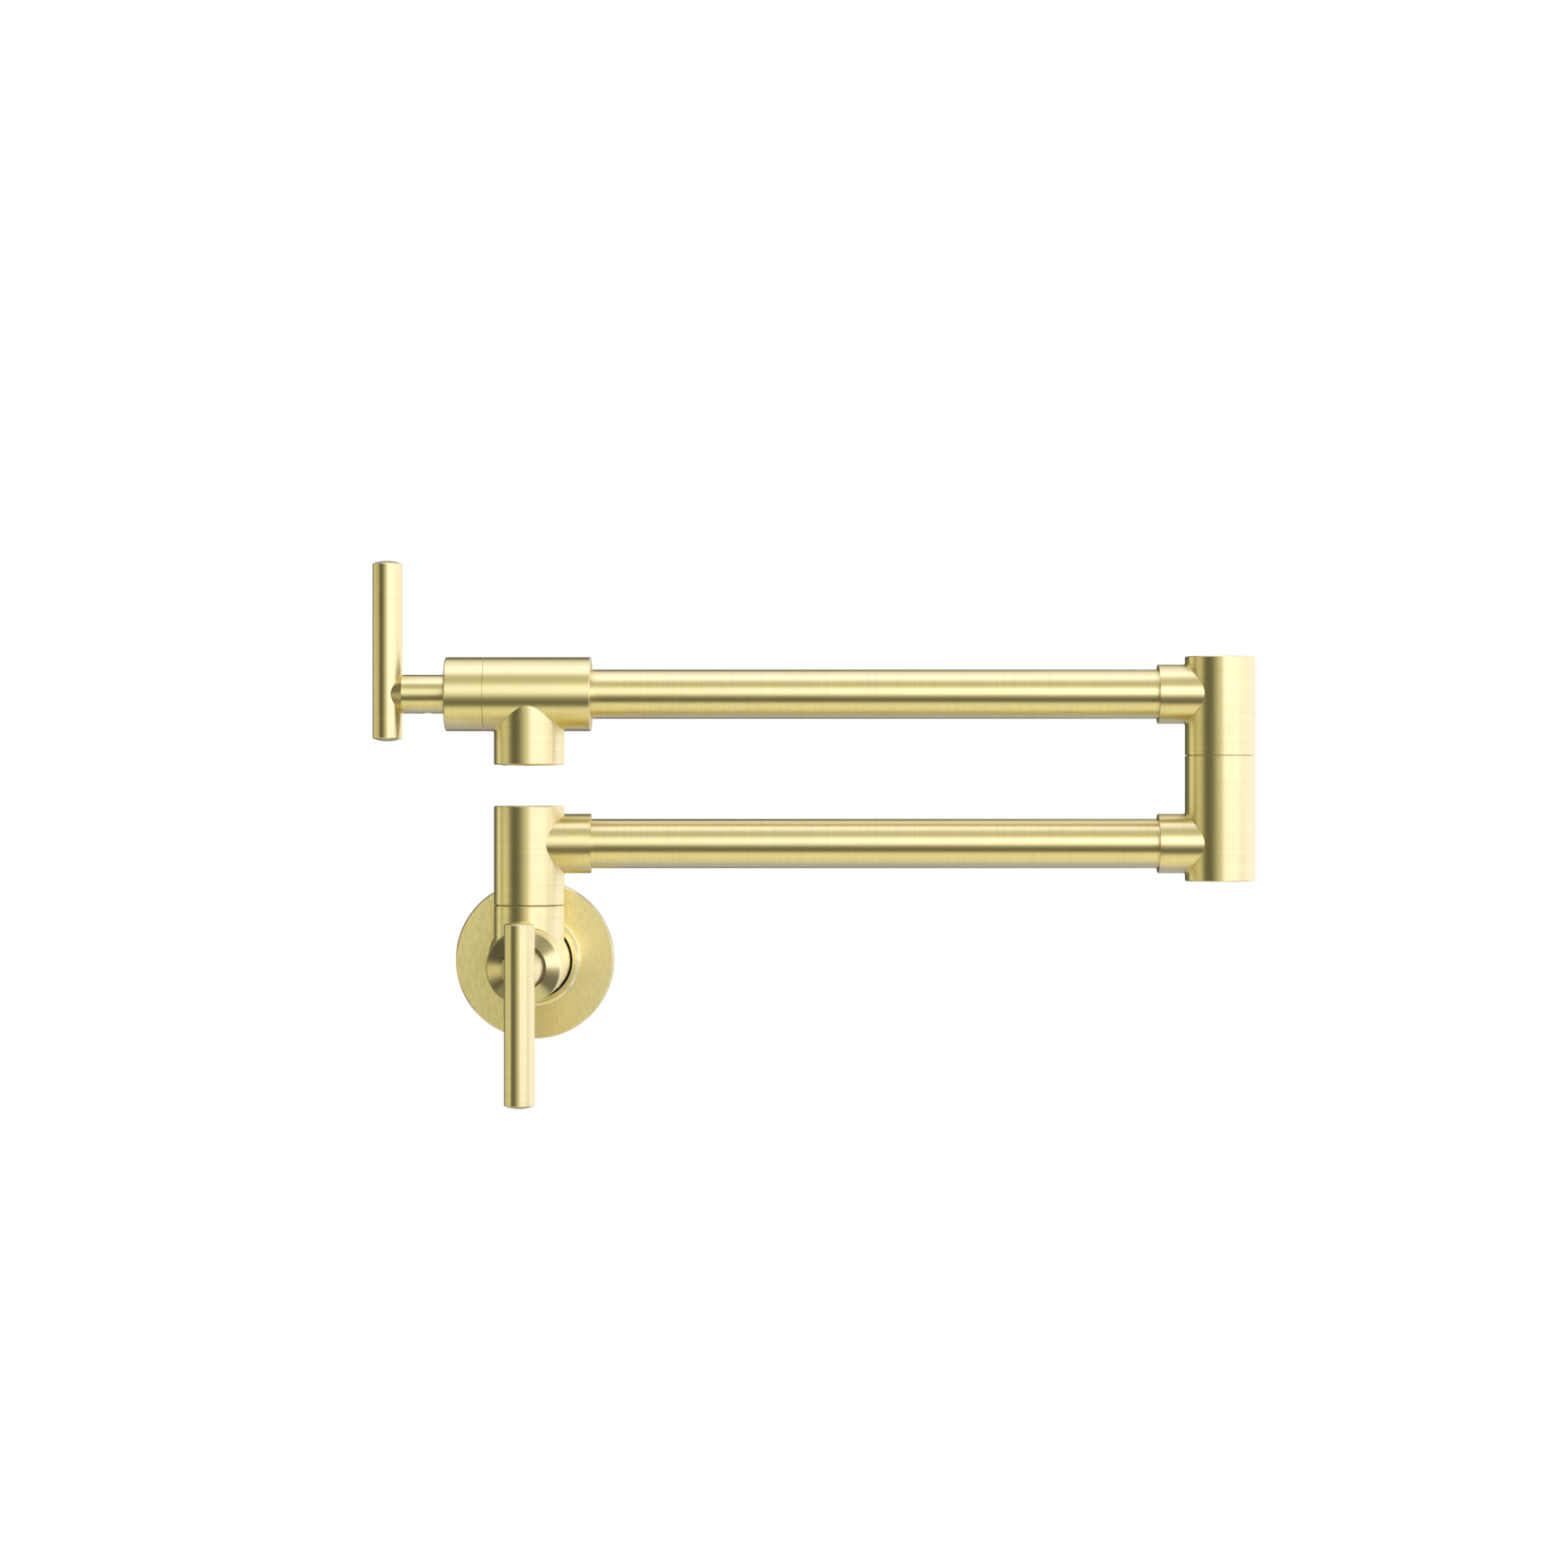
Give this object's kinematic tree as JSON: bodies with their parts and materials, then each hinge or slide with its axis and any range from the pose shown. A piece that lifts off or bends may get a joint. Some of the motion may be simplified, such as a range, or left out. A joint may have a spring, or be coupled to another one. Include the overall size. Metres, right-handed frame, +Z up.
{
  "type": "pot filler",
  "caption": "Wall-mounted folding pot filler in brushed gold: round wall flange, jointed swing arms on vertical swivels, a quarter-turn T-bar valve at the wall and another at the spout.",
  "frame": {"origin": "centre of the wall flange's back face, on the wall's plane", "axes": "+X along the folded arms, +Y into the wall, +Z up"},
  "size_m": [0.3576, 0.1044, 0.2172],
  "materials": {
    "brushed_gold": "brushed, clear-sealed pale gold",
    "raw_brass": "machined",
    "black_rubber": "moulded",
    "foam": "closed-cell foam",
    "ceramic": "lapped alumina",
    "slide_plastic": "turned acetal",
    "steel": "machined",
    "grey_plastic": "moulded",
    "dark_plastic": "turned graphite-filled acetal"
  },
  "bodies": {
    "wall_valve": {"wall_flange": "brushed_gold", "wall_gasket": "foam", "flange_grip_ring": "black_rubber", "wall_valve_body": "brushed_gold", "wall_bonnet": "brushed_gold", "wall_cartridge_housing": "raw_brass", "wall_cartridge_o_ring": "black_rubber", "wall_cartridge_seal": "black_rubber", "wall_fixed_disc": "ceramic", "wall_swivel_post": "raw_brass", "wall_post_o_rings": "black_rubber", "wall_swivel_washer": "dark_plastic", "wall_glide_washer": "slide_plastic", "wall_post_nut": "raw_brass"},
    "wall_handle": {"wall_cartridge_stem": "raw_brass", "wall_stem_o_rings": "black_rubber", "wall_stem_clip": "steel", "wall_rotor_disc": "ceramic", "wall_handle_hub": "brushed_gold", "wall_handle_stud": "steel", "wall_handle_bar": "brushed_gold", "wall_handle_set_screw": "steel"},
    "lower_arm": {"lower_arm_socket": "brushed_gold", "lower_arm_cap": "brushed_gold", "lower_arm_cap_o_ring": "black_rubber", "lower_arm_tube": "brushed_gold", "elbow_lower_socket": "brushed_gold", "elbow_swivel_post": "raw_brass", "elbow_post_o_rings": "black_rubber", "elbow_swivel_washer": "raw_brass", "elbow_glide_washer": "slide_plastic", "elbow_post_nut": "raw_brass"},
    "upper_arm": {"elbow_upper_socket": "brushed_gold", "elbow_cap": "brushed_gold", "elbow_cap_o_ring": "black_rubber", "upper_arm_tube": "brushed_gold", "spout_valve_body": "brushed_gold", "spout_bonnet": "brushed_gold", "spout_cartridge_housing": "raw_brass", "spout_cartridge_o_ring": "black_rubber", "spout_cartridge_seal": "black_rubber", "spout_fixed_disc": "ceramic", "aerator_housing": "brushed_gold", "aerator_insert": "grey_plastic", "aerator_gasket": "black_rubber"},
    "spout_handle": {"spout_cartridge_stem": "raw_brass", "spout_stem_o_rings": "black_rubber", "spout_stem_clip": "steel", "spout_rotor_disc": "ceramic", "spout_handle_hub": "brushed_gold", "spout_handle_stud": "steel", "spout_handle_bar": "brushed_gold", "spout_handle_set_screw": "steel"}
  },
  "joints": [
    {"name": "wall_swivel", "type": "hinge", "parent": "wall_valve", "child": "lower_arm", "pos_m": [0, -0.041, 0.024], "axis": [0, 0, -1], "range_deg": [0, 180]},
    {"name": "elbow_swivel", "type": "hinge", "parent": "lower_arm", "child": "upper_arm", "pos_m": [0.28, -0.041, 0.0845], "axis": [0, 0, 1], "continuous": true},
    {"name": "wall_handle_turn", "type": "hinge", "parent": "wall_valve", "child": "wall_handle", "pos_m": [0, -0.0748, 0], "axis": [0, -1, 0], "range_deg": [0, 90]},
    {"name": "spout_handle_turn", "type": "hinge", "parent": "upper_arm", "child": "spout_handle", "pos_m": [-0.0338, -0.041, 0.1092], "axis": [1, 0, 0], "range_deg": [0, 90]}
  ]
}
